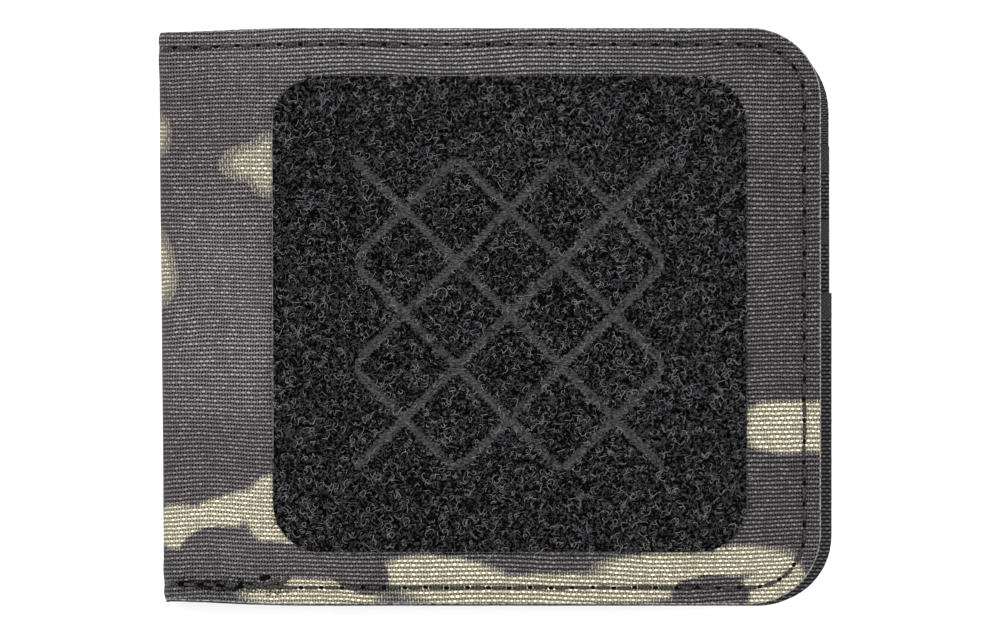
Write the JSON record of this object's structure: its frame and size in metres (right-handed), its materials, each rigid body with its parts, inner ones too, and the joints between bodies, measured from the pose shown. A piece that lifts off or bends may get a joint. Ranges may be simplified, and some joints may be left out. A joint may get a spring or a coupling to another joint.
{
  "type": "three-leaf wallet",
  "caption": "Closed black-lined camouflage nylon wallet with a loop patch panel on its front, card slots, a bill compartment and a clear-windowed centre leaf.",
  "frame": {"origin": "centre of the rear outer face that it lies on", "axes": "+X from the spine fold to the free edge, +Y from the bottom edge to the top edge where the bill compartment opens, +Z through the closed layers to the loop panel"},
  "size_m": [0.109, 0.0942, 0.0124],
  "materials": {
    "camo_nylon": "matte",
    "black_nylon": "matte",
    "lining": "satin",
    "tape": "matte",
    "thread": "satin",
    "clear_film": "clear",
    "loop_ground": "matte",
    "loop_pile": "matte"
  },
  "bodies": {
    "rear_half": {"rear_shell": "camo_nylon", "rear_lining": "lining", "rear_bill_seam": "black_nylon", "rear_divider": "lining", "rear_divider_hem": "tape", "rear_slot_high": "black_nylon", "rear_slot_mid": "black_nylon", "rear_slot_low": "black_nylon", "rear_slot_hems": "tape", "rear_shell_stitches": "thread", "rear_slot_stitches": "thread"},
    "spine": {"spine_shell": "camo_nylon", "spine_lining": "lining", "spine_divider": "lining", "spine_stitches": "thread", "leaf_hinge_tape": "tape"},
    "centre_leaf": {"leaf_hinge_tab": "tape", "leaf_rear_frame": "black_nylon", "leaf_rear_window": "clear_film", "leaf_side_seams": "black_nylon", "leaf_front_window": "clear_film", "leaf_front_frame": "black_nylon", "leaf_binding": "tape", "leaf_mouth_hems": "tape", "leaf_stitches": "thread"},
    "front_half": {"front_shell": "camo_nylon", "front_lining": "lining", "front_bill_seam": "black_nylon", "front_divider": "lining", "front_divider_hem": "tape", "front_slot_high": "black_nylon", "front_slot_mid": "black_nylon", "front_id_window": "clear_film", "front_id_frame": "black_nylon", "front_slot_hems": "tape", "front_shell_stitches": "thread", "front_seam_tack": "thread", "front_slot_stitches": "thread", "loop_ground": "loop_ground", "loop_pile": "loop_pile"}
  },
  "joints": [
    {"name": "spine_fold", "type": "hinge", "parent": "rear_half", "child": "spine", "pos_m": [-0.05418, 0, 0.00032], "axis": [0, -1, 0], "range_deg": [0, 90]},
    {"name": "front_fold", "type": "hinge", "parent": "spine", "child": "front_half", "pos_m": [-0.05418, 0, 0.01073], "axis": [0, -1, 0], "range_deg": [0, 90]},
    {"name": "leaf_swing", "type": "hinge", "parent": "spine", "child": "centre_leaf", "pos_m": [-0.05145, 0, 0.0054], "axis": [0, 1, 0], "range_deg": [0, 58.5]}
  ],
  "couplings": [
    {"joint": "front_fold", "follows": "spine_fold", "ratio": 1},
    {"joint": "leaf_swing", "follows": "spine_fold", "ratio": 0.65}
  ]
}
